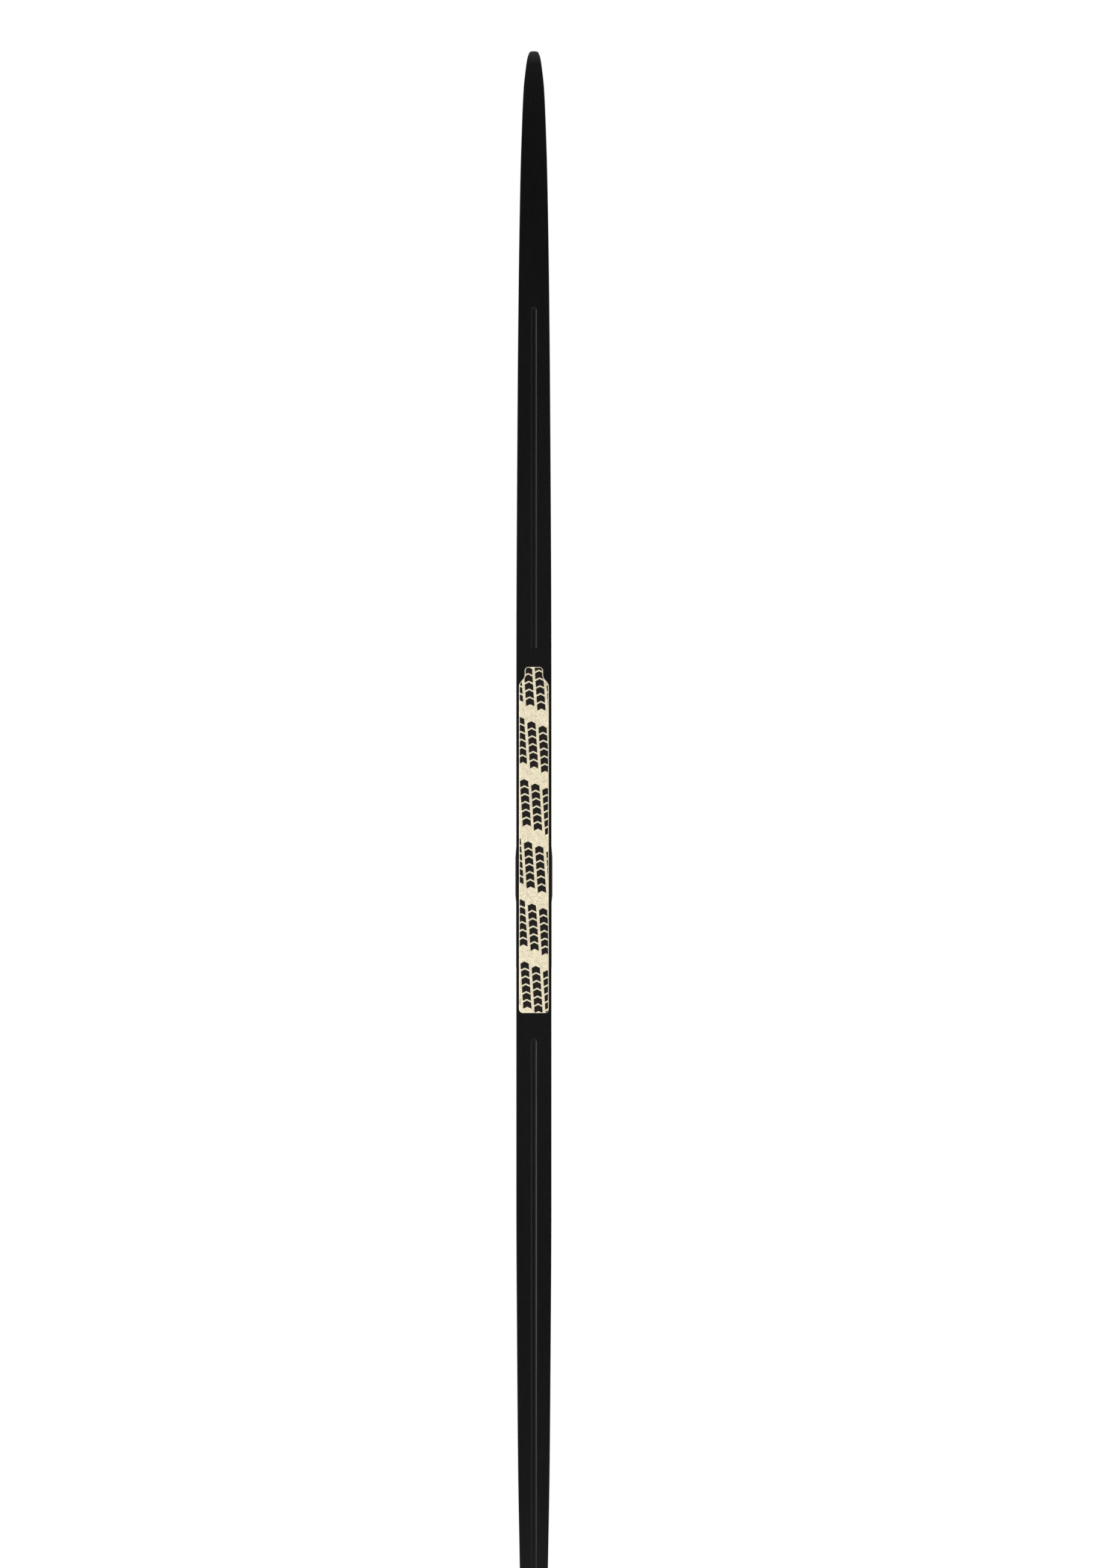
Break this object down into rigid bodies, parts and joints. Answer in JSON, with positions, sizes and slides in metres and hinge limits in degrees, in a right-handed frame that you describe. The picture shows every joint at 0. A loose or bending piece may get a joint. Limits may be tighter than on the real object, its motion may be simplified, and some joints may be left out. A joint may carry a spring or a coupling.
{
  "type": "cross country ski",
  "caption": "Classic cross country ski with a grip skin let into its grooved base, and a step-in toe binding with a heel plate on its top sheet.",
  "frame": {"origin": "middle of the tail's end face", "axes": "+Z along the ski from its tail to its tip, -Y out of the running base, +Y out of the top sheet and the binding, X across the ski"},
  "size_m": [0.0484, 0.0663, 2.02],
  "materials": {
    "base_pe": "sintered black polyethylene, waxed to a low satin",
    "mohair": "short cream mohair pile with a black printed pattern",
    "backing": "dark adhesive carrier",
    "laminate": "fibre laminate in resin",
    "core_wood": "light wood strips",
    "insert": "glass-filled plate",
    "top_film": "satin printed top sheet",
    "sidewall": "planed red sidewall",
    "spacer": "black moulded spacer",
    "binding_plastic": "fine-grained dark grey moulding",
    "lever_plastic": "smoother dark grey moulding",
    "steel": "brushed stainless steel",
    "spring_steel": "drawn spring wire",
    "rubber": "moulded black rubber"
  },
  "bodies": {
    "ski": {"base_sheet": "base_pe", "grip_skin": "mohair", "skin_backing": "backing", "lower_laminate": "laminate", "core": "core_wood", "binding_insert": "insert", "upper_laminate": "laminate", "top_sheet": "top_film", "sidewall_left": "sidewall", "sidewall_right": "sidewall", "tip_spacer": "spacer", "tail_spacer": "spacer", "binding_plate": "binding_plastic", "housing": "binding_plastic", "toe_bar_seat": "steel", "lever_pin": "steel", "latch_spring": "spring_steel", "flexor": "rubber", "plate_screws": "steel", "heel_plate": "binding_plastic", "heel_pad": "rubber", "heel_screws": "steel"},
    "lever": {"lever": "lever_plastic"},
    "latch": {"latch": "steel"}
  },
  "joints": [
    {"name": "lever_lift", "type": "hinge", "parent": "ski", "child": "lever", "pos_m": [0, 0.04775, 0.9875], "axis": [-1, 0, 0], "range_deg": [0, 70]},
    {"name": "latch_slide", "type": "slide", "parent": "ski", "child": "latch", "axis": [0, 0, 1], "range_m": [0, 0.0056], "stiffness_N_per_m": 300, "springref_m": -0.006, "deforming": ["latch_spring"]}
  ],
  "couplings": [
    {"joint": "lever_lift", "follows": "latch_slide", "rad_per_m": 218.17}
  ]
}
